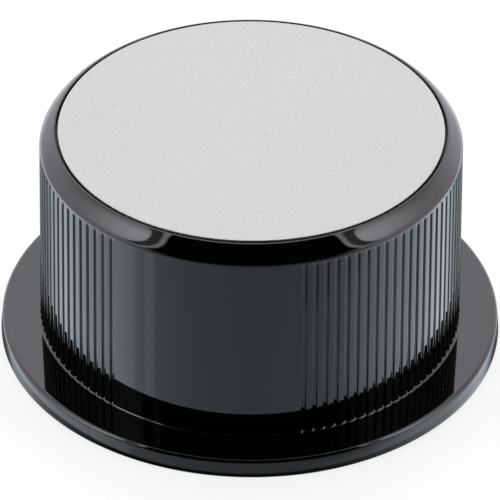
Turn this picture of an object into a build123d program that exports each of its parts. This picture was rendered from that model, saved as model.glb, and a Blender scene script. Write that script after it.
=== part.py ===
from build123d import *

import os
from math import cos, radians, tan

# Selector knob: a gloss black moulding with a fluted grip and a broad foot flange, and a satin metal
# disc let into its top.
#
# Millimetres. The knob stands on its flange: Z is the turning axis and points up, and the origin is on
# the axis in the plane of the flange's underside. The two plain stretches of the grip face -Y and +Y.

os.makedirs("parts", exist_ok=True)

# The disc in the top
disc_radius = 22.6
disc_thickness = 0.6
disc_edge_break = 0.08
disc_proud = 0.1          # how far the disc stands above the rim
disc_gap = 0.25           # clearance round the disc, in its recess
film_thickness = 0.15     # the adhesive under the disc
film_margin = 0.6         # how far the adhesive stays inside the disc's edge

# The outside of the moulding
knob_height = 28.3        # flange underside to disc top
land_width = 0.24         # the narrow flat rim round the disc
land_rounding = 0.1
shoulder_width = 1.69     # the convex chamfer between rim and grip
shoulder_height = 1.9
shoulder_bulge = 0.14     # how far the chamfer swells past a straight one
shoulder_crown = 4.0      # radius across the chamfer
shoulder_rounding = 0.5
wall_draft = 1.05         # degrees
foot_fillet = 0.3
flange_projection = 4.8
flange_thickness = 2.25
flange_draft = 6.0        # degrees
flange_top_rounding = 0.3
flange_bottom_rounding = 0.15

# The grip grooves, in two groups
grooves_per_grip = 43
grip_angle = 126.0        # degrees, first groove to last groove of a group
groove_width = 0.44
groove_depth = 0.2
groove_top_gap = 0.42     # plain wall left between a groove and the shoulder

# The inside of the moulding
wall_thickness = 2.0
top_thickness = 2.0
mouth_rounding = 0.2
ceiling_fillet = 0.8
rib_count = 4
rib_thickness = 1.2
rib_slot_gap = 1.0        # ribs start this far above the boss slots

# The boss and its D-shaped shaft hole
shaft_diameter = 6.0
shaft_flat_height = 4.5   # across the shaft, from its flat to the far side
entry_clearance = 0.2     # all round the shaft, in the round stretch that guides it
key_clearance = 0.02      # all round the shaft, in the D stretch that grips it
boss_wall = 2.1
boss_inset = 1.2          # boss mouth above the flange underside
lead_in = 0.4
round_length = 5.0        # the full round stretch of the hole
bore_depth = 20.0
slot_width = 1.2
slot_length = 9.0

# How far a cutter reaches past what it cuts
cutter_overrun = 0.3

# The sprung wire ring that closes the slotted boss on the shaft
wire_diameter = 1.0
ring_gap_angle = 40.0     # degrees
ring_height = 3.0         # wire centre above the boss mouth
ring_groove_depth = 0.5
ring_clearance = 0.02

# Levels
land_z = knob_height - disc_proud
film_z = knob_height - disc_thickness - film_thickness
disc_z = knob_height - disc_thickness
ceiling_z = film_z - top_thickness
wall_top_z = land_z - shoulder_height
ring_z = boss_inset + ring_height
bore_top_z = boss_inset + bore_depth
flat_start_z = boss_inset + lead_in + round_length
slot_top_z = boss_inset + slot_length
rib_bottom_z = slot_top_z + rib_slot_gap

# Radii
wall_slope = tan(radians(wall_draft))
recess_radius = disc_radius + disc_gap
land_outer_radius = recess_radius + land_width
wall_top_radius = land_outer_radius + shoulder_width
wall_foot_radius = wall_top_radius + (wall_top_z - flange_thickness) * wall_slope
flange_radius = wall_foot_radius + flange_projection
entry_radius = shaft_diameter / 2 + entry_clearance
key_radius = shaft_diameter / 2 + key_clearance
boss_radius = entry_radius + boss_wall
flat_distance = shaft_flat_height - shaft_diameter / 2 + key_clearance
ring_groove_radius = boss_radius - ring_groove_depth
ring_radius = ring_groove_radius + ring_clearance + wire_diameter / 2


def wall_radius(z):
    """Outside radius of the drafted grip wall at a height."""
    return wall_top_radius + (wall_top_z - z) * wall_slope


def turned(corners):
    """Solid of revolution from (radius, height, corner rounding) rows."""
    outline = FilletPolyline(
        [(r, z) for r, z, rounding in corners],
        radius=[rounding for r, z, rounding in corners],
        close=True,
    )
    section = Plane.XZ * make_face(outline)
    return revolve(section, axis=Axis.Z)


def shell():
    """Top, shoulder, grip wall and flange as one turned shape, open below."""
    slant = (shoulder_width**2 + shoulder_height**2) ** 0.5
    swell_r = land_outer_radius + shoulder_width / 2 + shoulder_bulge * shoulder_height / slant
    swell_z = land_z - shoulder_height / 2 + shoulder_bulge * shoulder_width / slant
    flange_top_radius = flange_radius - flange_thickness * tan(radians(flange_draft))
    return turned(
        [
            (0, film_z, 0),
            (recess_radius, film_z, 0),
            (recess_radius, land_z, land_rounding / 2),
            (land_outer_radius, land_z, land_rounding),
            (swell_r, swell_z, shoulder_crown),
            (wall_top_radius, wall_top_z, shoulder_rounding),
            (wall_foot_radius, flange_thickness, foot_fillet),
            (flange_top_radius, flange_thickness, flange_top_rounding),
            (flange_radius, 0, flange_bottom_rounding),
            (wall_radius(0) - wall_thickness, 0, mouth_rounding),
            (wall_radius(ceiling_z) - wall_thickness, ceiling_z, ceiling_fillet),
            (0, ceiling_z, 0),
        ]
    )


def groove_cutter():
    """One V groove on the +X side, leaning with the wall's draft."""
    outer = groove_depth + cutter_overrun
    half_outer = groove_width / 2 * outer / groove_depth
    bottom_radius = wall_foot_radius - groove_depth
    section = Polyline(
        (bottom_radius, 0),
        (bottom_radius + outer, half_outer),
        (bottom_radius + outer, -half_outer),
        close=True,
    )
    rise = wall_top_z - groove_top_gap - flange_thickness
    face = Pos(0, 0, flange_thickness) * make_face(section)
    return extrude(face, amount=rise / cos(radians(wall_draft)), dir=(-wall_slope, 0, 1))


def groove_angles():
    """Angle of every groove about Z, in degrees, for the grips at +X and -X."""
    step = grip_angle / (grooves_per_grip - 1)
    one_grip = [i * step - grip_angle / 2 for i in range(grooves_per_grip)]
    return one_grip + [180 + angle for angle in one_grip]


def rib():
    """One upright web from the boss to the wall, on the +X side."""
    inner = entry_radius + boss_wall / 2
    into_top = top_thickness / 2
    into_wall = wall_thickness / 2
    upright = Polyline(
        (inner, rib_bottom_z),
        (wall_radius(rib_bottom_z) - into_wall, rib_bottom_z),
        (wall_radius(ceiling_z) - into_wall, ceiling_z),
        (wall_radius(ceiling_z) - into_wall, ceiling_z + into_top),
        (inner, ceiling_z + into_top),
        close=True,
    )
    return extrude(Plane.XZ * make_face(upright), amount=rib_thickness / 2, both=True)


def ribs():
    """The webs, evenly spaced and clear of the boss slots."""
    step = 360 / rib_count
    return [Rot(0, 0, (i + 0.5) * step) * rib() for i in range(rib_count)]


def upright_cylinder(radius, bottom_z, top_z):
    """Cylinder on the axis between two heights."""
    middle = (bottom_z + top_z) / 2
    return Pos(0, 0, middle) * Cylinder(radius, top_z - bottom_z)


def boss():
    """Post that holds the shaft, before its hole is made."""
    into_top = top_thickness / 2
    post = upright_cylinder(boss_radius, boss_inset, ceiling_z + into_top)
    half_height = wire_diameter / 2 + ring_clearance
    band = upright_cylinder(boss_radius + cutter_overrun, ring_z - half_height, ring_z + half_height)
    core = upright_cylinder(ring_groove_radius, ring_z - half_height, ring_z + half_height)
    return post - (band - core)


def shaft_hole():
    """Lead-in, full round stretch, then the D that the shaft's flat turns."""
    mouth = turned(
        [
            (0, boss_inset, 0),
            (entry_radius + lead_in, boss_inset, 0),
            (entry_radius, boss_inset + lead_in, 0),
            (entry_radius, flat_start_z, 0),
            (0, flat_start_z, 0),
        ]
    )
    keyed = upright_cylinder(key_radius, flat_start_z, bore_top_z)
    middle = Pos(0, flat_distance - key_radius, (flat_start_z + bore_top_z) / 2)
    below_flat = middle * Box(
        2 * (key_radius + cutter_overrun), 2 * key_radius, bore_top_z - flat_start_z
    )
    return mouth + (keyed & below_flat)


def boss_slots():
    """The cut across the boss that lets its two jaws spring."""
    middle = Pos(0, 0, (boss_inset + slot_top_z) / 2)
    return middle * Box(2 * (boss_radius + cutter_overrun), slot_width, slot_length)


def knob_body():
    """The whole black moulding."""
    body = shell() + ribs() + boss()
    body -= [shaft_hole(), boss_slots()]
    body -= [Rot(0, 0, angle) * groove_cutter() for angle in groove_angles()]
    return body


def face_disc():
    """Satin metal disc, its top edge just broken."""
    disc = upright_cylinder(disc_radius, disc_z, knob_height)
    return chamfer(disc.edges().group_by(Axis.Z)[-1], disc_edge_break)


def disc_film():
    """Die-cut adhesive film between the disc and the recess floor."""
    return upright_cylinder(disc_radius - film_margin, film_z, disc_z)


def boss_ring():
    """Open ring of round spring wire in the boss groove, its gap towards +Y."""
    wire = Plane.XZ * Pos(ring_radius, ring_z) * Circle(wire_diameter / 2)
    loop = revolve(wire, axis=Axis.Z, revolution_arc=360 - ring_gap_angle)
    return Rot(0, 0, 90 + ring_gap_angle / 2) * loop


nodes = {
    "knob_body": knob_body(),
    "face_disc": face_disc(),
    "disc_film": disc_film(),
    "boss_ring": boss_ring(),
}

for name, shape in nodes.items():
    export_step(shape, f"parts/{name}.step")
    print(name, round(shape.volume, 1), "cubic mm")
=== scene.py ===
# %% [markdown]
# # A gloss black selector knob
#
# The knob is a black moulding with two groups of fine upright grooves to grip it by, a broad flange
# at its foot and a thin satin metal disc let into its top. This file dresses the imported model: it
# loads the solids as a fixed frame, models the moulding and the disc again with finer edges, gives
# every piece its finish, and sets up a small studio. It can be read from top to bottom as a lesson.

# %% Load the frame
from math import atan2, cos, hypot, pi, radians, sin, sqrt, tan

import bmesh
import bpy
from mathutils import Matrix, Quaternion, Vector


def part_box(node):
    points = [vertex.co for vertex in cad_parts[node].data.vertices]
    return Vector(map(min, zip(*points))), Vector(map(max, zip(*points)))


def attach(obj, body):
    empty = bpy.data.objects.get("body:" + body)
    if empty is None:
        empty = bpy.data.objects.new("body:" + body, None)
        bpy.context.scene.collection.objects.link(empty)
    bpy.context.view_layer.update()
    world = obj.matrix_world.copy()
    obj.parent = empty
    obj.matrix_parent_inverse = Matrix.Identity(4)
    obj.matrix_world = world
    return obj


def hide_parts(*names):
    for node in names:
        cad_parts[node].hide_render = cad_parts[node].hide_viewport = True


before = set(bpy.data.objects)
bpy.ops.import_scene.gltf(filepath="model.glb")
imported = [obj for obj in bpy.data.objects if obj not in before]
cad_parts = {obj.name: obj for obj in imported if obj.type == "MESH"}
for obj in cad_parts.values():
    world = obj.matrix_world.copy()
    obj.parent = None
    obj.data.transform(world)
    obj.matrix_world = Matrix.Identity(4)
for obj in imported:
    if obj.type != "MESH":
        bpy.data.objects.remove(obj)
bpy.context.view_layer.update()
print("nodes", sorted(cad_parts))

# %% [markdown]
# ## Sizes
#
# Blender works in metres, so each small size is written in millimetres and multiplied by MM. The
# big sizes are read from the solids' own boxes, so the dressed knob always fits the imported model.

# %% Sizes read from the frame
MM = 0.001
knob_low, knob_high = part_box("knob_body")
disc_low, disc_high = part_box("face_disc")
film_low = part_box("disc_film")[0]
rim_height = knob_high.z
disc_radius = disc_high.x
recess_floor = film_low.z
print("flange", round(2 * knob_high.x / MM, 2), "mm across, rim at", round(rim_height / MM, 2), "mm")

# %% Sizes of the moulding's outside
disc_gap = 0.29 * MM
rim_rounding = 0.09 * MM
land_width = 0.2 * MM
land_rounding = 0.1 * MM
shoulder_width = 1.69 * MM
shoulder_height = 1.9 * MM
shoulder_bulge = 0.36 * MM
shoulder_crown = 4.1 * MM
shoulder_rounding = 0.5 * MM
foot_fillet = 0.25 * MM
flange_thickness = 2.25 * MM
flange_top_rounding = 0.45 * MM
flange_draft = radians(6)
wall_slope = tan(radians(1.05))
recess_radius = disc_radius + disc_gap
land_radius = recess_radius + land_width
wall_top_radius = land_radius + shoulder_width
wall_top = rim_height - shoulder_height
wall_foot_radius = wall_top_radius + (wall_top - flange_thickness) * wall_slope
flange_reach = min(knob_high.x, -knob_low.x, knob_high.y, -knob_low.y)
flange_rounding = 0.15 * MM
# The flange is widest on its lower rounding, so the outline's sharp corner lies a hair further out.
flange_radius = flange_reach + flange_rounding * (1 / cos(flange_draft) + tan(flange_draft) - 1)
flange_top_radius = flange_radius - flange_thickness * tan(flange_draft)
print("grip", round(2 * wall_foot_radius / MM, 2), "mm across at its foot")

# %% Sizes of the moulding's inside
wall_thickness = 2.0 * MM
top_thickness = 2.0 * MM
mouth_rounding = 0.2 * MM
ceiling_fillet = 0.8 * MM
ceiling = recess_floor - top_thickness


def wall_radius(z):
    """Outside radius of the tapered grip at a height."""
    return wall_top_radius + (wall_top - z) * wall_slope


inner_foot_radius = wall_radius(0) - wall_thickness
inner_top_radius = wall_radius(ceiling) - wall_thickness
print("ceiling of the hollow at", round(ceiling / MM, 2), "mm")

# %% [markdown]
# ## Hand tools
#
# Operators act on whatever is selected, so every piece starts with nothing selected at all. The
# helpers below open a mesh for editing, pick vertices by a test on their place, and close it again.

# %% Open, pick and close


def open_for_edit(piece):
    """Make one object the active one and open it with nothing picked in it."""
    bpy.ops.object.select_all(action="DESELECT")
    bpy.context.view_layer.objects.active = piece
    piece.select_set(True)
    bpy.ops.object.mode_set(mode="EDIT")
    bpy.ops.mesh.select_mode(type="VERT")
    bpy.ops.mesh.select_all(action="DESELECT")


def close_edit():
    """Leave edit mode."""
    bpy.ops.object.mode_set(mode="OBJECT")


def pick(piece, wanted):
    """Pick exactly the vertices of an open mesh whose place passes the test."""
    bpy.ops.mesh.select_all(action="DESELECT")
    shape = bmesh.from_edit_mesh(piece.data)
    for vertex in shape.verts:
        if wanted(*vertex.co):
            vertex.select = True
    shape.select_flush(True)
    bmesh.update_edit_mesh(piece.data)


def turn_picked(angle):
    """Turn what is picked round the axis, anticlockwise from above: with no window the sign flips."""
    bpy.ops.transform.rotate(value=-angle, orient_axis="Z", center_override=(0, 0, 0))


def spread_picked(factor):
    """Move what is picked away from the axis, or towards it."""
    bpy.ops.transform.resize(value=(factor, factor, 1), center_override=(0, 0, 0))


def merge_and_face_outwards():
    """Merge vertices that lie on each other, then turn every face outwards."""
    bpy.ops.mesh.select_all(action="SELECT")
    bpy.ops.mesh.remove_doubles(threshold=1e-7)
    bpy.ops.mesh.normals_make_consistent(inside=False)


# %% How a finished mesh is reported


def report(piece):
    """Print the size of a mesh and whether it is closed all round."""
    shape = bmesh.new()
    shape.from_mesh(piece.data)
    open_edges = sum(not edge.is_manifold for edge in shape.edges)
    volume = shape.calc_volume() / MM**3
    shape.free()
    print(piece.name, len(piece.data.polygons), "faces,", open_edges, "open edges,", round(volume), "mm3")


# %% [markdown]
# ## Drawing an outline to spin
#
# A moulding like this is a turned shape: half of its section, spun once round the axis. To draw the
# section by hand, a small plane is merged into a single vertex, and that vertex is extruded along
# the outline. Each corner is then rounded with a vertex bevel. For a corner that turns by an angle a,
# a bevel of r * tan(a / 2) leaves an arc of radius r.

# %% Trace, round and spin
JUST = 1e-6


def turn_at(before, corner, after):
    """Angle by which an outline turns at a corner."""
    way_in = Vector((corner[0] - before[0], corner[1] - before[1]))
    way_out = Vector((after[0] - corner[0], after[1] - corner[1]))
    return way_in.angle(way_out)


def trace(name, rows):
    """Draw an outline from (radius, height, rounding, arc steps) rows, and leave it open for editing."""
    bpy.ops.object.select_all(action="DESELECT")
    bpy.ops.mesh.primitive_plane_add(size=MM, location=(rows[0][0], 0, rows[0][1]))
    piece = bpy.context.object
    piece.name = piece.data.name = name
    bpy.ops.object.transform_apply(location=True)
    open_for_edit(piece)
    bpy.ops.mesh.select_all(action="SELECT")
    bpy.ops.mesh.merge(type="CENTER")
    for last, row in zip(rows, rows[1:]):
        step = (row[0] - last[0], 0, row[1] - last[1])
        bpy.ops.mesh.extrude_region_move(TRANSFORM_OT_translate={"value": step})
    for before, corner, after in zip(rows, rows[1:], rows[2:]):
        if corner[2]:
            pick(piece, lambda x, y, z: hypot(x - corner[0], z - corner[1]) < JUST)
            reach = corner[2] * tan(turn_at(before, corner, after) / 2)
            bpy.ops.mesh.bevel(affect="VERTICES", offset=reach, segments=corner[3], clamp_overlap=False)
    return piece


def spin_picked(steps, angle, copies=False):
    """Spin what is picked round the axis, anticlockwise from above, as a skin or as copies."""
    bpy.ops.mesh.spin(steps=steps, angle=-angle, dupli=copies, center=(0, 0, 0), axis=(0, 0, 1))


def close_rings():
    """Fill the round openings that an outline leaves where it starts and ends short of the axis."""
    bpy.ops.mesh.select_all(action="DESELECT")
    bpy.ops.mesh.select_non_manifold()
    bpy.ops.mesh.fill_holes(sides=0)
    merge_and_face_outwards()


# %% [markdown]
# ## The moulding
#
# The outline runs from the recess under the disc, out over the thin rim and the swelling shoulder,
# down the tapered wall to the flange, and back up the hollow inside. The wall has a few extra
# points where the top end of a groove is rounded off. On the flange's flat top, a point stands just
# beside each rounding: it makes a narrow flat face there, which keeps the shading of the wide one flat.
#
# The grooves stand 3 degrees apart, so only one slice of 3 degrees is modelled: the outline is spun
# through it in twelve steps, which gives thirteen upright columns of vertices, and one groove is
# pressed into them.

# %% Sizes of the grooves
grooves_per_grip = 43
pitch = radians(3)
steps_per_pitch = 12
groove_top_gap = 0.42 * MM
groove_top = wall_top - groove_top_gap
groove_end = 0.25 * MM
grip_half_angle = (grooves_per_grip - 1) / 2 * pitch
groove_levels = [groove_top - share * groove_end for share in (0, 0.15, 0.5, 1)]
print(2 * grooves_per_grip, "grooves, up to", round(groove_top / MM, 2), "mm")

# %% Outline of the moulding
slant = hypot(shoulder_width, shoulder_height)
swell_radius = land_radius + shoulder_width / 2 + shoulder_bulge * shoulder_height / slant
swell_height = rim_height - shoulder_height / 2 + shoulder_bulge * shoulder_width / slant
flat_margin = 0.05 * MM
centre_radius = 7 * MM
moulding_outline = [
    (centre_radius, recess_floor, 0, 0),
    (recess_radius, recess_floor, 0, 0),
    (recess_radius, rim_height, rim_rounding, 6),
    (land_radius, rim_height, land_rounding, 4),
    (swell_radius, swell_height, shoulder_crown, 10),
    (wall_top_radius, wall_top, shoulder_rounding, 7),
    *[(wall_radius(z), z, 0, 0) for z in groove_levels],
    (wall_foot_radius, flange_thickness, foot_fillet, 6),
    (wall_foot_radius + foot_fillet + flat_margin, flange_thickness, 0, 0),
    (flange_top_radius - flange_top_rounding - flat_margin, flange_thickness, 0, 0),
    (flange_top_radius, flange_thickness, flange_top_rounding, 7),
    (flange_radius, 0, flange_rounding, 5),
    (inner_foot_radius, 0, mouth_rounding, 4),
    (inner_top_radius, ceiling, ceiling_fillet, 5),
    (centre_radius, ceiling, 0, 0),
]
moulding = trace("knob_moulding", moulding_outline)
outline_points = [tuple(vertex.co) for vertex in bmesh.from_edit_mesh(moulding.data).verts]
print("outline of", len(outline_points), "points")

# %% Spin one slice
bpy.ops.mesh.select_all(action="SELECT")
turn_picked(-pitch / 2)
spin_picked(steps_per_pitch, pitch)

# %% [markdown]
# ## One groove
#
# A groove has a narrow flat bottom, steep sides and softly rounded lips. Light that enters it is
# mirrored from side to side and little of it comes out again, so it looks dark from every angle.
# Counting columns from its middle, column 1 ends the bottom, columns 2 and 3 are the side, columns 4
# and 5 round the lip, and column 6 is the middle of the land between two grooves. Each
# column is turned to its place and then moved towards the axis by its depth. The land's middle is
# drawn in by a hair as well, so that every land is a flat facet, as on the real grip. At the wall's
# foot the groove runs out in the small fillet, which meets the flange in an unbroken ring.

# %% Press the groove into the slice
foot_level = flange_thickness
LIP = 5
LAND = steps_per_pitch // 2
# Each column: its distance from the groove's middle, and its depth.
groove_section = {0: (0, 0.24 * MM), 1: (0.12 * MM, 0.235 * MM), 2: (0.185 * MM, 0.14 * MM),
                  3: (0.22 * MM, 0.065 * MM), 4: (0.28 * MM, 0.025 * MM), LIP: (0.42 * MM, 0)}
land_flatness = cos(pitch / 2 - groove_section[LIP][0] / wall_foot_radius)


def column_of(x, y):
    """Number of the column a vertex stands in, counted from the middle of the groove."""
    return round(atan2(y, x) / (pitch / steps_per_pitch))


def depth_share(z):
    """How deep the groove is at a height, as a share of its full depth: its top end is rounded."""
    down = min(1, max(0, (groove_top - z) / groove_end))
    return sqrt(1 - (1 - down) ** 2)


def foot_share(z):
    """How far the groove still cuts into the foot's fillet at a height, as a share."""
    return min(1, max(0, (z - foot_level) / foot_fillet))


def groove_place(column, row_radius, z):
    """Distance from the groove's middle and from the axis, for one column of one row."""
    across, depth = groove_section[column]
    if column == LIP:
        return across, row_radius
    groove_radius = wall_radius(z) - depth * depth_share(z)
    return across, row_radius + (groove_radius - row_radius) * foot_share(z)


def shape_row(piece, row_radius, z):
    """Move every vertex of one row of the wall to its place in the groove, from the middle outwards."""
    for column in sorted(range(-LAND, LAND + 1), key=abs):
        pick(piece, lambda vx, vy, vz: abs(vz - z) < JUST and abs(hypot(vx, vy) - row_radius) < JUST
             and column_of(vx, vy) == column)
        if abs(column) == LAND:
            spread_picked(land_flatness)
            continue
        across, radius = groove_place(abs(column), row_radius, z)
        spread_picked(radius / row_radius)
        side = 1 if column > 0 else -1
        turn_picked(side * across / radius - column * pitch / steps_per_pitch)


wall_rows = [(x, z) for x, y, z in outline_points
             if foot_level - JUST < z < groove_top + JUST
             and wall_radius(z) - JUST < x < wall_foot_radius + foot_fillet]
for row_radius, z in wall_rows:
    shape_row(moulding, row_radius, z)
print("groove shaped in", len(wall_rows), "rows")

# %% [markdown]
# ## The whole grip
#
# The finished slice is copied along one grip, the plain stretch beside it is spun from its last
# column, and the two together are copied once more to the other side.

# %% Copy the slice along the grip
bpy.ops.mesh.select_all(action="SELECT")
turn_picked(-grip_half_angle)
bpy.ops.mesh.select_all(action="SELECT")
spin_picked(grooves_per_grip - 1, 2 * grip_half_angle, copies=True)
bpy.ops.mesh.select_all(action="SELECT")
bpy.ops.mesh.remove_doubles(threshold=1e-7)

# %% Let the outermost lands run into the plain stretches
grip_edge = grip_half_angle + pitch / 2


def at_grip_edge(x, y, z):
    """Whether a vertex of the wall stands where a grip ends."""
    on_wall = wall_top_radius < hypot(x, y) < wall_foot_radius + foot_fillet
    in_rows = foot_level - JUST < z < groove_top + JUST
    return on_wall and in_rows and abs(abs(atan2(y, x)) - grip_edge) < JUST / wall_top_radius


pick(moulding, at_grip_edge)
spread_picked(1 / land_flatness)

# %% Spin a plain stretch, copy both to the other side and close the middle
plain_angle = pi - grooves_per_grip * pitch
plain_steps = 68
pick(moulding, lambda x, y, z: abs(atan2(y, x) - grip_edge) < JUST / flange_radius)
spin_picked(plain_steps, plain_angle)
bpy.ops.mesh.select_all(action="SELECT")
spin_picked(1, pi, copies=True)
merge_and_face_outwards()
close_rings()
close_edit()
report(moulding)

# %% [markdown]
# ## The boss inside
#
# Under the top hangs a post with a hole for the shaft: a widened mouth, a round stretch that guides
# the shaft, and a D-shaped stretch that its flat turns. A slot cuts the post into two jaws, and a
# groove round it carries the spring ring. Four webs tie it to the wall. None of this shows when the
# knob is in place, so it is modelled plainly, but it is all there when the knob is turned over.

# %% Sizes of the boss
boss_inset = 1.2 * MM
entry_radius = 3.2 * MM
boss_wall = 2.1 * MM
boss_rounding = 0.15 * MM
lead_in = 0.4 * MM
round_length = 5 * MM
key_radius = 3.02 * MM
flat_distance = 1.52 * MM
bore_depth = 20 * MM
ring_height = 3 * MM
ring_half_width = 0.52 * MM
ring_groove_depth = 0.5 * MM
core_radius = 1 * MM
boss_steps = 96
boss_radius = entry_radius + boss_wall
flat_start = boss_inset + lead_in + round_length
bore_top = boss_inset + bore_depth
ring_radius = boss_radius - ring_groove_depth
ring_low = boss_inset + ring_height - ring_half_width
ring_high = boss_inset + ring_height + ring_half_width
into_top = ceiling + top_thickness / 2
print("boss", round(2 * boss_radius / MM, 2), "mm across")

# %% Spin the boss
boss_outline = [
    (core_radius, bore_top, 0, 0),
    (key_radius, bore_top, 0, 0),
    (key_radius, flat_start, 0, 0),
    (entry_radius, flat_start, 0, 0),
    (entry_radius, boss_inset + lead_in, 0, 0),
    (entry_radius + lead_in, boss_inset, 0, 0),
    (boss_radius, boss_inset, boss_rounding, 3),
    (boss_radius, ring_low, 0, 0),
    (ring_radius, ring_low, 0, 0),
    (ring_radius, ring_high, 0, 0),
    (boss_radius, ring_high, 0, 0),
    (boss_radius, into_top, 0, 0),
    (core_radius, into_top, 0, 0),
]
boss = trace("boss", boss_outline)
bpy.ops.mesh.select_all(action="SELECT")
spin_picked(boss_steps, 2 * pi)
merge_and_face_outwards()
close_rings()

# %% Press the flat into the D-shaped stretch
pick(boss, lambda x, y, z: y > flat_distance and hypot(x, y) < key_radius + JUST
     and flat_start - JUST < z < bore_top + JUST)
bpy.ops.transform.resize(value=(1, 0, 1), center_override=(0, flat_distance, 0))
close_edit()
report(boss)

# %% [markdown]
# ## Slot, webs and one moulding
#
# A Boolean modifier cuts the slot out of the post, and then joins post, webs and shell into one
# closed moulding. The webs reach a little way into the wall and into the top, so that no faces lie
# on each other where they join. One web is modelled, and a spin copies it to the other three places.

# %% Join or cut with a Boolean


def combine(piece, other, how):
    """Join another closed shape to a piece, or cut it away, and delete the other shape."""
    bpy.ops.object.select_all(action="DESELECT")
    bpy.context.view_layer.objects.active = piece
    piece.select_set(True)
    bpy.ops.object.modifier_add(type="BOOLEAN")
    boolean = piece.modifiers[-1]
    boolean.operation, boolean.object, boolean.solver = how, other, "EXACT"
    bpy.ops.object.modifier_apply(modifier=boolean.name)
    bpy.data.objects.remove(other)


def block(name, low, high):
    """A cube stretched between two corners, with its place in its mesh."""
    middle = [(a + b) / 2 for a, b in zip(low, high)]
    size = [b - a for a, b in zip(low, high)]
    bpy.ops.object.select_all(action="DESELECT")
    bpy.ops.mesh.primitive_cube_add(size=1, location=middle, scale=size)
    bpy.ops.object.transform_apply(location=True, rotation=True, scale=True)
    bpy.context.object.name = name
    return bpy.context.object


# %% Cut the slot
slot_half_width = 0.6 * MM
slot_length = 9 * MM
slot_top = boss_inset + slot_length
clear = 0.3 * MM
cutter = block("slot", (-boss_radius - clear, -slot_half_width, boss_inset - clear),
               (boss_radius + clear, slot_half_width, slot_top))
combine(boss, cutter, "DIFFERENCE")

# %% Shape one web and copy it round
web_count = 4
web_half_thickness = 0.6 * MM
web_gap = 1 * MM
web_low = slot_top + web_gap
web_inner = entry_radius + boss_wall / 2
web_outer = wall_radius(ceiling) - wall_thickness / 2
webs = block("webs", (web_inner, -web_half_thickness, web_low), (web_outer, web_half_thickness, into_top))
open_for_edit(webs)
pick(webs, lambda x, y, z: x > web_outer - JUST and z < web_low + JUST)
bpy.ops.transform.translate(value=(wall_radius(web_low) - wall_radius(ceiling), 0, 0))
bpy.ops.mesh.select_all(action="SELECT")
turn_picked(pi / web_count)
spin_picked(web_count - 1, 2 * pi * (web_count - 1) / web_count, copies=True)
close_edit()

# %% Join everything into one moulding
combine(boss, webs, "UNION")
combine(moulding, boss, "UNION")
report(moulding)

# %% [markdown]
# ## Smooth where it is round, crisp where it is flat
#
# Smooth shading blends the direction of light from face to face. Plain smoothing would make the
# narrow lands between the grooves look bulged, so a Weighted Normal modifier lets the tall faces of
# the wall keep their own direction and puts the bend into the roundings beside them. It leaves the
# shading of very small faces as it is.

# %% Smooth shading with weighted normals
full_weight = 100
same_area = 1e-8


def smooth(piece, crease):
    """Shade a piece smooth, with creases past an angle and the larger faces kept flat."""
    bpy.ops.object.select_all(action="DESELECT")
    bpy.context.view_layer.objects.active = piece
    piece.select_set(True)
    bpy.ops.object.shade_smooth_by_angle(angle=crease)
    bpy.ops.object.modifier_add(type="WEIGHTED_NORMAL")
    weighted = piece.modifiers[-1]
    weighted.mode, weighted.weight, weighted.keep_sharp = "FACE_AREA", full_weight, True
    weighted.thresh = same_area
    bpy.ops.object.modifier_apply(modifier=weighted.name)


smooth(moulding, crease=radians(50))
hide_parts("knob_body")
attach(moulding, "root")

# %% [markdown]
# ## The disc
#
# A blanked metal disc sits in the recess on its adhesive film, a tenth of a millimetre proud of the
# rim. Its top edge is just broken, and that fine round catches the light as a thin bright line.

# %% Spin the disc
disc_steps = 240
disc_foot_rounding = 0.04 * MM
disc_edge_rounding = 0.09 * MM
disc_outline = [
    (centre_radius, disc_low.z, 0, 0),
    (disc_radius, disc_low.z, disc_foot_rounding, 2),
    (disc_radius, disc_high.z, disc_edge_rounding, 4),
    (centre_radius, disc_high.z, 0, 0),
]
disc = trace("satin_face", disc_outline)
bpy.ops.mesh.select_all(action="SELECT")
spin_picked(disc_steps, 2 * pi)
merge_and_face_outwards()
close_rings()
close_edit()
report(disc)
smooth(disc, crease=radians(60))
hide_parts("face_disc")
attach(disc, "root")

# %% [markdown]
# ## Node helpers
#
# A material is a small graph. A few helpers keep the graphs readable: one adds a node and sets its
# sockets by name, or by number where a name starts with an underline, others do sums with nodes, and
# one makes an empty node group with named inputs and outputs, for an effect that several finishes
# share.

# %% Add nodes and groups


def put(tree, kind, settings=None, **sockets):
    """Add a node, set its own settings, and set or link its input sockets."""
    node = tree.nodes.new(kind)
    for name, value in (settings or {}).items():
        setattr(node, name, value)
    for name, value in sockets.items():
        key = int(name[1:]) if name[0] == "_" else name.replace("_", " ")
        socket = node.inputs[key]
        if isinstance(value, bpy.types.NodeSocket):
            tree.links.new(value, socket)
        else:
            socket.default_value = value
    return node


def maths(tree, operation, *values):
    """A Math node on up to three values, and its result."""
    named = {f"_{i}": value for i, value in enumerate(values)}
    return put(tree, "ShaderNodeMath", {"operation": operation}, **named).outputs[0]


def scaled(tree, value, gain, offset):
    """A value times a gain, plus an offset."""
    return maths(tree, "MULTIPLY_ADD", value, gain, offset)


def far_side(tree, one, other):
    """Distance from two sides that meet at a right angle."""
    squares = [maths(tree, "MULTIPLY", side, side) for side in (one, other)]
    return maths(tree, "SQRT", maths(tree, "ADD", *squares))


def new_group(name, inputs, outputs):
    """An empty shader node group with named sockets, and its input and output nodes."""
    tree = bpy.data.node_groups.new(name, "ShaderNodeTree")
    for label, kind, value in inputs:
        socket = tree.interface.new_socket(label, in_out="INPUT", socket_type=kind)
        socket.default_value = value
    for label, kind in outputs:
        tree.interface.new_socket(label, in_out="OUTPUT", socket_type=kind)
    return tree, tree.nodes.new("NodeGroupInput"), tree.nodes.new("NodeGroupOutput")


FLOAT = "NodeSocketFloat"

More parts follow.
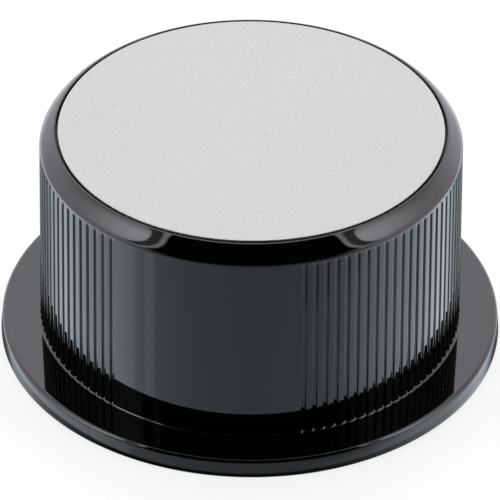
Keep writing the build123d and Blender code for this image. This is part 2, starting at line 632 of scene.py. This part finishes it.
# %% [markdown]
# ## Shared effects
#
# Three effects are shared by several finishes. Dust is a scatter of tiny specks: a Voronoi pattern
# gives one speck to a cell, and only a few cells are lit. Grain is a fine even noise, for metal and
# adhesive. Handling is a broad, very faint unevenness, such as fingers leave on any smooth surface.

# %% Dust
dust_tree, dust_in, dust_out = new_group(
    "dust_specks",
    [("Amount", FLOAT, 0.05), ("Cell size", FLOAT, 0.002), ("Speck size", FLOAT, 0.03)],
    [("Mask", FLOAT)])
place = put(dust_tree, "ShaderNodeTexCoord").outputs["Object"]
cells = put(dust_tree, "ShaderNodeTexVoronoi", {"feature": "F1"}, Vector=place,
            Scale=maths(dust_tree, "DIVIDE", 1, dust_in.outputs["Cell size"]))
chance = put(dust_tree, "ShaderNodeSeparateColor", Color=cells.outputs["Color"])
speck_size = maths(dust_tree, "MULTIPLY", dust_in.outputs["Speck size"], chance.outputs[1])
near = maths(dust_tree, "LESS_THAN", cells.outputs["Distance"], speck_size)
lit = maths(dust_tree, "LESS_THAN", chance.outputs[0], dust_in.outputs["Amount"])
dust_tree.links.new(maths(dust_tree, "MULTIPLY", near, lit), dust_out.inputs["Mask"])

# %% Grain
grain_tree, grain_in, grain_out = new_group(
    "fine_grain", [("Grain size", FLOAT, 0.0002), ("Contrast", FLOAT, 1.0)], [("Grain", FLOAT)])
place = put(grain_tree, "ShaderNodeTexCoord").outputs["Object"]
grain_noise = put(grain_tree, "ShaderNodeTexNoise", Vector=place, Detail=3.0, Roughness=0.6,
                  Scale=maths(grain_tree, "DIVIDE", 1, grain_in.outputs["Grain size"]))
centred = maths(grain_tree, "SUBTRACT", grain_noise.outputs["Fac"], 0.5)
grain_tree.links.new(maths(grain_tree, "MULTIPLY", centred, grain_in.outputs["Contrast"]),
                     grain_out.inputs["Grain"])

# %% Handling
handling_tree, handling_in, handling_out = new_group(
    "handling", [("Patch size", FLOAT, 0.01)], [("Unevenness", FLOAT)])
place = put(handling_tree, "ShaderNodeTexCoord").outputs["Object"]
patches = put(handling_tree, "ShaderNodeTexNoise", Vector=place, Detail=4.0, Roughness=0.55,
              Scale=maths(handling_tree, "DIVIDE", 1, handling_in.outputs["Patch size"]))
handling_tree.links.new(maths(handling_tree, "SUBTRACT", patches.outputs["Fac"], 0.5),
                        handling_out.inputs["Unevenness"])
print("shared effects", [group.name for group in bpy.data.node_groups])

# %% Place a shared effect in a material


def new_finish(name):
    """An empty material with a Principled shader, and its tree and shader."""
    finish = bpy.data.materials.new(name)
    finish.use_nodes = True
    tree = finish.node_tree
    return finish, tree, tree.nodes["Principled BSDF"]


def effect(tree, group, **sockets):
    """Place a shared effect in a material and give back its result."""
    return put(tree, "ShaderNodeGroup", {"node_tree": group}, **sockets).outputs[0]


def blend_colour(tree, amount, plain, other):
    """Mix two colours by an amount that changes over the surface."""
    mix = tree.nodes.new("ShaderNodeMix")
    mix.data_type = "RGBA"
    for key, value in (("Factor_Float", amount), ("A_Color", plain), ("B_Color", other)):
        socket = next(s for s in mix.inputs if s.identifier == key)
        if isinstance(value, bpy.types.NodeSocket):
            tree.links.new(value, socket)
        else:
            socket.default_value = value
    return next(s for s in mix.outputs if s.identifier == "Result_Color")


def dress(node, finish):
    """Give every slot of a mesh one finish."""
    if not node.data.materials:
        node.data.materials.append(finish)
    for i in range(len(node.data.materials)):
        node.data.materials[i] = finish
    print(node.name, "wears", finish.name)


# %% [markdown]
# ## Gloss black moulding
#
# Black plastic straight from a polished mould is nearly a mirror with almost no colour of its own,
# so all that is seen of it is what it reflects. A high index of refraction keeps those reflections
# as strong as they are on the real knob. A few dust specks and a hairline scratch break the gloss.
# The scratch is part of a circle, drawn on the wall as if the wall were rolled out flat, and a noise
# makes it wander. The recess that the disc hides is left unpolished, so the gap round the disc stays
# dark.

# %% Gloss black
gloss_black, tree, shader = new_finish("gloss_black")
place = put(tree, "ShaderNodeTexCoord").outputs["Object"]
spot = put(tree, "ShaderNodeSeparateXYZ", Vector=place)
dust = effect(tree, dust_tree, Amount=0.35, Cell_size=0.0015, Speck_size=0.05)
uneven = effect(tree, handling_tree, Patch_size=0.008)
tree.links.new(blend_colour(tree, dust, (0.001, 0.001, 0.0012, 1), (0.12, 0.12, 0.13, 1)),
               shader.inputs["Base Color"])
shader.inputs["IOR"].default_value = 1.7

# %% A hairline scratch on the front
scratch_middle, scratch_height, scratch_radius = -5.1 * MM, 18.5 * MM, 8.6 * MM
scratch_top, scratch_half_width, scratch_wander = 13.8 * MM, 0.075 * MM, 1.8 * MM
wanders_per_metre = 300.0
turn_from_front = maths(tree, "ARCTAN2", spot.outputs["X"], maths(tree, "MULTIPLY", spot.outputs["Y"], -1))
along = scaled(tree, turn_from_front, wall_foot_radius, -scratch_middle)
above = maths(tree, "SUBTRACT", spot.outputs["Z"], scratch_height)
from_middle = far_side(tree, along, above)
noise = put(tree, "ShaderNodeTexNoise", Vector=place, Scale=wanders_per_metre, Detail=2.0).outputs["Fac"]
wander = scaled(tree, noise, scratch_wander, -scratch_wander / 2)
off_line = maths(tree, "ADD", maths(tree, "SUBTRACT", from_middle, scratch_radius), wander)
on_line = put(tree, "ShaderNodeMapRange", Value=maths(tree, "ABSOLUTE", off_line),
              From_Min=scratch_half_width, From_Max=0.0).outputs[0]
low_enough = maths(tree, "LESS_THAN", spot.outputs["Z"], scratch_top)
in_front = maths(tree, "LESS_THAN", spot.outputs["Y"], 0)
scratch = maths(tree, "MULTIPLY", maths(tree, "MULTIPLY", on_line, low_enough), in_front)

# %% The recess under the disc is left unpolished
dull_top = rim_height - rim_rounding - 10 * JUST
from_axis = far_side(tree, spot.outputs["X"], spot.outputs["Y"])
near_axis = maths(tree, "LESS_THAN", from_axis, recess_radius + 10 * JUST)
above_floor = maths(tree, "GREATER_THAN", spot.outputs["Z"], recess_floor - 10 * JUST)
below_rim = maths(tree, "LESS_THAN", spot.outputs["Z"], dull_top)
unpolished = maths(tree, "MULTIPLY", near_axis, maths(tree, "MULTIPLY", above_floor, below_rim))

# %% How rough the moulding is
polish = scaled(tree, uneven, 0.01, 0.015)
polish = scaled(tree, dust, 0.4, polish)
polish = scaled(tree, scratch, 0.6, polish)
tree.links.new(scaled(tree, unpolished, 0.5, polish), shader.inputs["Roughness"])
dress(moulding, gloss_black)

# %% [markdown]
# ## Satin metal disc
#
# The disc is aluminium with a fine, even satin grain that has no direction. Metal colour, a middling
# roughness and a very small bump give the soft sheen, and the grain shifts the roughness a little
# from spot to spot.

# %% Satin metal
satin_metal, tree, shader = new_finish("satin_metal")
grain = effect(tree, grain_tree, Grain_size=0.00022, Contrast=1.0)
uneven = effect(tree, handling_tree, Patch_size=0.02)
tone = scaled(tree, grain, 2.0, 0.5)
tree.links.new(blend_colour(tree, tone, (0.521, 0.544, 0.50, 1), (0.688, 0.718, 0.674, 1)),
               shader.inputs["Base Color"])
tree.links.new(scaled(tree, uneven, 0.05, scaled(tree, grain, 0.2, 0.5)), shader.inputs["Roughness"])
shader.inputs["Metallic"].default_value = 1.0
bump = put(tree, "ShaderNodeBump", Height=grain, Strength=0.25, Distance=0.00002)
tree.links.new(bump.outputs["Normal"], shader.inputs["Normal"])
dress(disc, satin_metal)

# %% [markdown]
# ## Film and ring
#
# The adhesive film only shows as a thin line in the gap round the disc, and the spring ring only
# when the knob is turned over. Both keep their solids and get a proper finish.

# %% Adhesive film
adhesive, tree, shader = new_finish("adhesive_film")
grain = effect(tree, grain_tree, Grain_size=0.0008, Contrast=1.0)
tone = scaled(tree, grain, 0.8, 0.5)
tree.links.new(blend_colour(tree, tone, (0.74, 0.72, 0.64, 1), (0.86, 0.84, 0.77, 1)),
               shader.inputs["Base Color"])
tree.links.new(scaled(tree, grain, 0.2, 0.55), shader.inputs["Roughness"])
dress(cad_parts["disc_film"], adhesive)

# %% Drawn spring wire
spring_wire, tree, shader = new_finish("spring_wire")
grain = effect(tree, grain_tree, Grain_size=0.00015, Contrast=1.0)
dust = effect(tree, dust_tree, Amount=0.1, Cell_size=0.0012, Speck_size=0.06)
tone = scaled(tree, grain, 0.6, 0.5)
drawn = blend_colour(tree, tone, (0.50, 0.49, 0.47, 1), (0.66, 0.65, 0.63, 1))
tree.links.new(blend_colour(tree, dust, drawn, (0.3, 0.28, 0.26, 1)), shader.inputs["Base Color"])
tree.links.new(scaled(tree, grain, 0.25, 0.28), shader.inputs["Roughness"])
shader.inputs["Metallic"].default_value = 1.0
dress(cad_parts["boss_ring"], spring_wire)

# %% [markdown]
# ## Camera
#
# The camera stands close to half a metre away, looks down at 36 degrees and a little from the
# right, and has a long lens. It is turned very slightly about its own line of sight.

# %% Set up the camera
camera_azimuth = radians(12.5)
camera_elevation = radians(36.243)
camera_distance = 0.4743
camera_roll = radians(0.43)
camera_lens, sensor_width = 286.1, 36
aim = Vector((-0.05 * MM, -0.01 * MM, 10.45 * MM))


def towards(azimuth, elevation):
    """Direction from the knob, with azimuth counted from the camera, anticlockwise from above."""
    turn = camera_azimuth + azimuth
    return Vector((sin(turn) * cos(elevation), -cos(turn) * cos(elevation), sin(elevation)))


bpy.ops.object.camera_add(location=aim + towards(0, camera_elevation) * camera_distance)
camera = bpy.context.object
camera.rotation_mode = "QUATERNION"
line_of_sight = (-towards(0, camera_elevation)).to_track_quat("-Z", "Y")
camera.rotation_quaternion = line_of_sight
camera.rotation_quaternion.rotate(Quaternion(towards(0, camera_elevation), camera_roll))
camera.data.lens, camera.data.sensor_width = camera_lens, sensor_width
camera.data.clip_start, camera.data.clip_end = 0.05, 20
bpy.context.scene.camera = camera
print("camera at", [round(c, 3) for c in camera.location])

# %% [markdown]
# ## Floor
#
# The floor is plain and pale and takes the knob's soft shadow. Away from the knob it fades to plain
# white. Glossy surfaces don't see it: they see the surroundings that a later step makes. An emission
# of strength 1 is plain white, and Light Path limits it to what is looked at directly.

# %% Materials that are not a finish


def bare_material(name, node):
    """Give a mesh a new material with an empty tree, and hand the tree back."""
    material = bpy.data.materials.new(name)
    material.use_nodes = True
    material.node_tree.nodes.clear()
    node.data.materials.append(material)
    return material.node_tree


def looked_at(tree):
    """1 for what the camera sees, directly or through something clear."""
    rays = put(tree, "ShaderNodeLightPath")
    return maths(tree, "MAXIMUM", rays.outputs["Is Camera Ray"], rays.outputs["Is Transmission Ray"])


def rise_between(tree, value, start, end):
    """0 up to a start, 1 from an end, and a smooth rise between them."""
    settings = {"interpolation_type": "SMOOTHSTEP"}
    return put(tree, "ShaderNodeMapRange", settings, Value=value, From_Min=start, From_Max=end).outputs[0]


# %% Floor
floor_size = 8.0
shadow_zone = 0.075
white_zone = 0.17
shadow_softening = 0.72
bpy.ops.object.select_all(action="DESELECT")
bpy.ops.mesh.primitive_plane_add(size=floor_size, location=(0, 0, 0))
floor = bpy.context.object
floor.name = "floor"
floor.visible_glossy = False
tree = bare_material("pale_paper", floor)
place = put(tree, "ShaderNodeTexCoord").outputs["Object"]
away = put(tree, "ShaderNodeVectorMath", {"operation": "LENGTH"}, _0=place).outputs["Value"]
fade = rise_between(tree, away, shadow_zone, white_zone)
whiteness = maths(tree, "MULTIPLY", maths(tree, "MAXIMUM", fade, shadow_softening), looked_at(tree))
lit_paper = put(tree, "ShaderNodeBsdfDiffuse", Color=(0.9, 0.9, 0.9, 1))
white = put(tree, "ShaderNodeEmission", Color=(1, 1, 1, 1), Strength=1.0)
mixed = put(tree, "ShaderNodeMixShader", _0=whiteness, _1=lit_paper.outputs[0], _2=white.outputs[0])
put(tree, "ShaderNodeOutputMaterial", Surface=mixed.outputs[0])
print("floor", floor_size, "m wide, plain white from", white_zone, "m out")

# %% [markdown]
# ## Contact shade
#
# Right beside the knob no light reaches the floor, and the flange's foot mirrors that dark line. The
# floor is hidden from mirrored rays here, so a thin flat ring stands in for it: only those rays see
# it. It fades out away from the flange, and towards the sides, where the soft boxes light the floor.

# %% Lay a dark ring round the foot
shade_dark, shade_end = 30.7 * MM, 31.3 * MM
shade_lift = 10 * JUST
shade_ring = trace("contact_shade", [(flange_reach + JUST, 0, 0, 0), (shade_end, 0, 0, 0)])
bpy.ops.mesh.select_all(action="SELECT")
spin_picked(disc_steps, 2 * pi)
merge_and_face_outwards()
bpy.ops.mesh.select_all(action="SELECT")
bpy.ops.transform.translate(value=(0, 0, shade_lift))
close_edit()
shade_ring.visible_camera = shade_ring.visible_diffuse = shade_ring.visible_shadow = False
shade_ring.visible_transmission = False

# %% Fade the ring outwards and towards the sides
side_depth, side_end, front_start = 0.3, 0.5, 0.95
shade_grey = 0.02
tree = bare_material("contact_shade", shade_ring)
place = put(tree, "ShaderNodeTexCoord").outputs["Object"]
away = put(tree, "ShaderNodeVectorMath", {"operation": "LENGTH"}, _0=place).outputs["Value"]
fade = rise_between(tree, away, shade_dark, shade_end)
forwards = maths(tree, "MULTIPLY", put(tree, "ShaderNodeSeparateXYZ", Vector=place).outputs["Y"], -1)
depth = put(tree, "ShaderNodeMapRange", Value=maths(tree, "DIVIDE", forwards, away), From_Min=side_end,
            From_Max=front_start, To_Min=side_depth, To_Max=1.0).outputs[0]
darkness = maths(tree, "MULTIPLY", depth, maths(tree, "SUBTRACT", 1, fade))
dark = put(tree, "ShaderNodeEmission", Color=(shade_grey, shade_grey, shade_grey, 1), Strength=1.0)
clear_air = put(tree, "ShaderNodeBsdfTransparent")
mixed = put(tree, "ShaderNodeMixShader", _0=darkness, _1=clear_air.outputs[0], _2=dark.outputs[0])
put(tree, "ShaderNodeOutputMaterial", Surface=mixed.outputs[0])
print("shade ring out to", round(shade_end / MM, 2), "mm")

# %% [markdown]
# ## Surroundings
#
# A gloss black thing is drawn by what it reflects, so the light tent round it matters more than the
# lamps: white cloth all round, a bright soft box glowing through it on each side, and a black drape
# in front so that the front of the knob stays black. The world shader paints that tent for glossy
# rays. It is made of a few level bands. Each band is a colour ramp round the horizon, counted in
# degrees from the camera, and bands above each other are blended. A narrow bright band low down
# behind draws the thin pale line along the shoulder's lower edge. In front, the upper bands only
# show through the two soft boxes. Those have round corners and a thin pale frame with a dark gap
# inside it, which the knob's shoulder mirrors as two nested hooks. The camera itself sees white.

# %% Bands of the tent
TENT_BRIGHTEST = 3.2
cool, warm = (0.90, 1.0, 1.07), (1.03, 0.98, 1.06)
# Each band: degrees up, its tint, and (degrees from the camera, brightness) stops.
tent_bands = [
    (-36, cool, [(-180, 0.2), (-150, 0.15), (-143, 0.37), (-137, 1.1), (-130, 1.5), (-122, 2.1),
                 (-113, 2.1), (-104, 1.85), (-86, 1.45), (-76, 1.4), (-65, 1.13), (-64.4, 0.88),
                 (-59.1, 0.80), (-58.5, 0.98), (-53.2, 0.95), (-52.6, 0.66), (-28, 0.52), (0, 0.44),
                 (28, 0.48), (50, 0.66), (62, 1.0), (70, 1.1), (80, 1.35), (100, 1.6), (110, 2.0),
                 (119, 2.2), (128, 2.3), (136, 1.5), (143, 0.6), (150, 0.15), (180, 0.2)]),
    (-27, cool, [(-180, 0.8), (-150, 0.9), (-136, 1.8), (-117, 1.6), (-97, 1.42), (-78, 1.3),
                 (-60, 0.95), (-54, 0.8), (-53, 0.55), (-39, 0.46), (-19, 0.38), (0, 0.36),
                 (19, 0.33), (39, 0.44), (52, 0.6), (60, 0.85), (78, 1.34), (97, 1.35),
                 (117, 1.85), (136, 1.7), (150, 0.9), (180, 0.8)]),
    (-18, warm, [(-180, 1.0), (-145, 1.4), (-135, 2.6), (-120, 2.6), (-105, 1.3), (-90, 1.25),
                 (-66, 0.93), (-56, 0.5), (-50, 0.28), (0, 0.25), (50, 0.28), (56, 0.5), (66, 0.9),
                 (90, 1.3), (105, 1.3), (120, 2.6), (135, 2.6), (145, 1.4), (180, 1.0)]),
    (-10, warm, [(-180, 1.1), (-135, 1.0), (-120, 1.0), (-90, 1.2), (-66, 0.9), (-56, 0.3),
                 (-50, 0.18), (50, 0.18), (56, 0.3), (66, 0.9), (90, 1.3), (120, 1.0), (135, 1.1),
                 (180, 1.1)]),
    (7, warm, [(-180, 1.3), (-140, 1.35), (-132, 1.15), (-120, 1.2), (-90, 1.2), (-78, 1.12),
               (-70, 0.92), (-60, 0.6), (-48, 0.4), (-38, 0.05), (38, 0.05), (48, 0.45), (60, 0.62),
               (70, 0.95), (78, 1.1), (90, 1.2), (108, 1.07), (120, 1.2), (140, 1.5), (180, 1.4)]),
    (20, warm, [(-180, 1.4), (-140, 1.5), (-124, 1.38), (-108, 1.28), (-96, 1.45), (-84, 1.95),
                (-72, 2.4), (-58, 2.4), (-48, 0.0), (48, 0.0), (58, 2.5), (72, 2.5), (84, 2.0),
                (96, 1.45), (108, 1.18), (116, 1.23), (132, 1.4), (148, 1.5), (180, 1.4)]),
    (42, warm, [(-180, 1.45), (-140, 1.1), (-124, 1.0), (-116, 0.85), (-108, 1.05), (-100, 1.5),
                (-88, 2.25), (-78, 2.75), (-70, 3.15), (-40, 3.15), (40, 3.0), (70, 3.0), (78, 2.8),
                (88, 2.3), (100, 1.55), (108, 1.12), (116, 0.85), (124, 0.7), (140, 0.9),
                (180, 1.45)]),
    (60, warm, [(-180, 1.2), (-120, 0.6), (-108, 0.7), (-100, 1.15), (-92, 1.55), (-80, 1.9),
                (80, 1.9), (92, 1.75), (100, 1.6), (108, 1.0), (120, 0.6), (180, 1.2)]),
    (82, warm, [(-180, 0.8), (-110, 0.6), (-90, 0.0), (90, 0.0), (110, 0.6), (180, 0.8)]),
]
print("tent of", len(tent_bands), "bands")

# %% Directions as seen from the knob
world = bpy.data.worlds.new("surroundings")
bpy.context.scene.world = world
world.use_nodes = True
tree = world.node_tree
tree.nodes.clear()
looking = put(tree, "ShaderNodeTexCoord").outputs["Generated"]
from_camera = put(tree, "ShaderNodeMapping", Vector=looking, Rotation=(0, 0, pi / 2 - camera_azimuth))
flat = put(tree, "ShaderNodeSeparateXYZ", Vector=from_camera.outputs[0])
round_tent = maths(tree, "ARCTAN2", flat.outputs["Y"], flat.outputs["X"])
across = scaled(tree, round_tent, 1 / (2 * pi), 0.5)
up = maths(tree, "MULTIPLY", maths(tree, "ARCSINE", flat.outputs["Z"]), 180 / pi)


# %% Colour ramps


def ramp_over(value, stops):
    """A colour ramp over a value, from (place, colour) stops."""
    ramp = put(tree, "ShaderNodeValToRGB", Fac=value)
    while len(ramp.color_ramp.elements) < len(stops):
        ramp.color_ramp.elements.new(0.5)
    for stop, (place, colour) in zip(ramp.color_ramp.elements, stops):
        stop.position = place
        stop.color = colour
    return ramp.outputs[0]


def band_colour(stops, tint):
    """One band of the tent, from (degrees from the camera, brightness) stops."""
    levels = [((angle + 180) / 360, brightness / TENT_BRIGHTEST) for angle, brightness in stops]
    return ramp_over(across, [(place, [channel * level for channel in tint] + [1])
                              for place, level in levels])


def share_ramp(value, stops):
    """A share that follows a value between 0 and 2, from (value, share) stops."""
    return ramp_over(maths(tree, "MULTIPLY", value, 0.5),
                     [(at / 2, (share, share, share, 1)) for at, share in stops])


# %% Cut out the soft boxes
# Each opening: its middle in degrees from the camera and degrees up, then half its width and half its
# height in degrees. Distances from a middle are shares of those halves, so 1 is the opening's edge.
box_middle = 95.0
box_openings = [(-box_middle, 32.0, 35.0, 28.7), (box_middle, 30.0, 32.0, 29.0)]
box_edges = [(0.0, 1.0), (0.985, 1.0), (1.035, 0.0), (2.0, 0.0)]
frame_edges = [(0.0, 0.0), (1.0, 0.0), (1.035, 0.08), (1.18, 0.08), (1.225, 0.5), (1.275, 0.5),
               (1.32, 0.0), (2.0, 0.0)]
drape_foot, drape_top = 11.0, 17.0
heading = maths(tree, "MULTIPLY", round_tent, 180 / pi)
from_box = None
for middle, height, half_width, half_height in box_openings:
    sideways = maths(tree, "DIVIDE", maths(tree, "SUBTRACT", heading, middle), half_width)
    upwards = maths(tree, "DIVIDE", maths(tree, "SUBTRACT", up, height), half_height)
    reach = far_side(tree, sideways, upwards)
    from_box = reach if from_box is None else maths(tree, "MINIMUM", from_box, reach)
behind = maths(tree, "GREATER_THAN", maths(tree, "ABSOLUTE", heading), box_middle)
below_drape = put(tree, "ShaderNodeMapRange", Value=up, From_Min=drape_top,
                  From_Max=drape_foot).outputs[0]
in_box = share_ramp(from_box, box_edges)
uncovered = maths(tree, "MAXIMUM", maths(tree, "MAXIMUM", in_box, behind), below_drape)
box_frame = maths(tree, "MULTIPLY", share_ramp(from_box, frame_edges),
                 maths(tree, "SUBTRACT", 1, maths(tree, "MAXIMUM", behind, below_drape)))

# %% Blend the bands
below, tint, stops = tent_bands[0]
tent = band_colour(stops, tint)
for elevation, tint, stops in tent_bands[1:]:
    rise = put(tree, "ShaderNodeMapRange", Value=up, From_Min=float(below), From_Max=float(elevation))
    tent = blend_colour(tree, rise.outputs[0], tent, band_colour(stops, tint))
    below = elevation

# %% [markdown]
# Light that a shiny flange has mirrored is polarised, and the upright wall then swallows almost all
# of it, because the two mirrors stand at right angles. Blender doesn't follow polarisation, so the
# tent is dimmed for rays that the knob has mirrored twice and that leave it upwards.

# %% What the camera and the lamps' light see
fill_level = 0.35
twice_mirrored = 0.12
rays = put(tree, "ShaderNodeLightPath")
plain_level = scaled(tree, looked_at(tree), 1 - fill_level, fill_level)
plain = put(tree, "ShaderNodeBackground", Color=(1, 1, 1, 1), Strength=plain_level)
second = maths(tree, "MULTIPLY", maths(tree, "GREATER_THAN", rays.outputs["Glossy Depth"], 1.5),
              maths(tree, "GREATER_THAN", up, 0))
tent_level = scaled(tree, second, TENT_BRIGHTEST * (twice_mirrored - 1), TENT_BRIGHTEST)
tent = blend_colour(tree, uncovered, (0, 0, 0, 1), tent)
tent = blend_colour(tree, box_frame, tent, [*warm, 1])
tent_light = put(tree, "ShaderNodeBackground", Color=tent, Strength=tent_level)
mixed = put(tree, "ShaderNodeMixShader", _0=rays.outputs["Is Glossy Ray"], _1=plain.outputs[0],
            _2=tent_light.outputs[0])
put(tree, "ShaderNodeOutputWorld", Surface=mixed.outputs[0])
print("surroundings of", len(tree.nodes), "nodes")

# %% [markdown]
# ## Lamps
#
# The same light falls on the floor and on anything that isn't glossy: two tall soft boxes stand at
# the sides, one behind, and a large one hangs above and behind. An area lamp's power is spread over
# its surface, so each is given the brightness it should have and its power follows from its size.
# Glossy rays pass through the lamps, because the tent already shows them.

# %% Soft boxes
lamp_distance = 0.9


def soft_box(name, azimuth, elevation, width, height, brightness, tint=(1, 1, 1)):
    """An area lamp that faces the knob, with its size given as angles seen from the knob."""
    away = towards(radians(azimuth), radians(elevation))
    bpy.ops.object.light_add(type="AREA", location=away * lamp_distance)
    lamp = bpy.context.object
    lamp.name = name
    lamp.rotation_mode = "QUATERNION"
    lamp.rotation_quaternion = away.to_track_quat("Z", "Y")
    lamp.data.shape = "RECTANGLE"
    lamp.data.size = 2 * lamp_distance * tan(radians(width) / 2)
    lamp.data.size_y = 2 * lamp_distance * tan(radians(height) / 2)
    lamp.data.energy = brightness * pi * lamp.data.size * lamp.data.size_y
    lamp.data.color = tint
    lamp.visible_camera = lamp.visible_glossy = False
    print(name, round(lamp.data.energy, 2), "W")


# Each lamp: degrees from the camera, degrees up, width and height in degrees, brightness and tint.
soft_box("right_box", 75, 32, 30, 36, 2.3)
soft_box("left_box", -75, 32, 30, 36, 2.3)
soft_box("back_box", 180, 38, 60, 26, 1.4, (1, 0.98, 1))
soft_box("top_box", 180, 72, 60, 34, 3.5)

# %% [markdown]
# ## Finish
#
# The view transform is set to Standard.

# %% Finish
bpy.context.scene.view_settings.view_transform = "Standard"
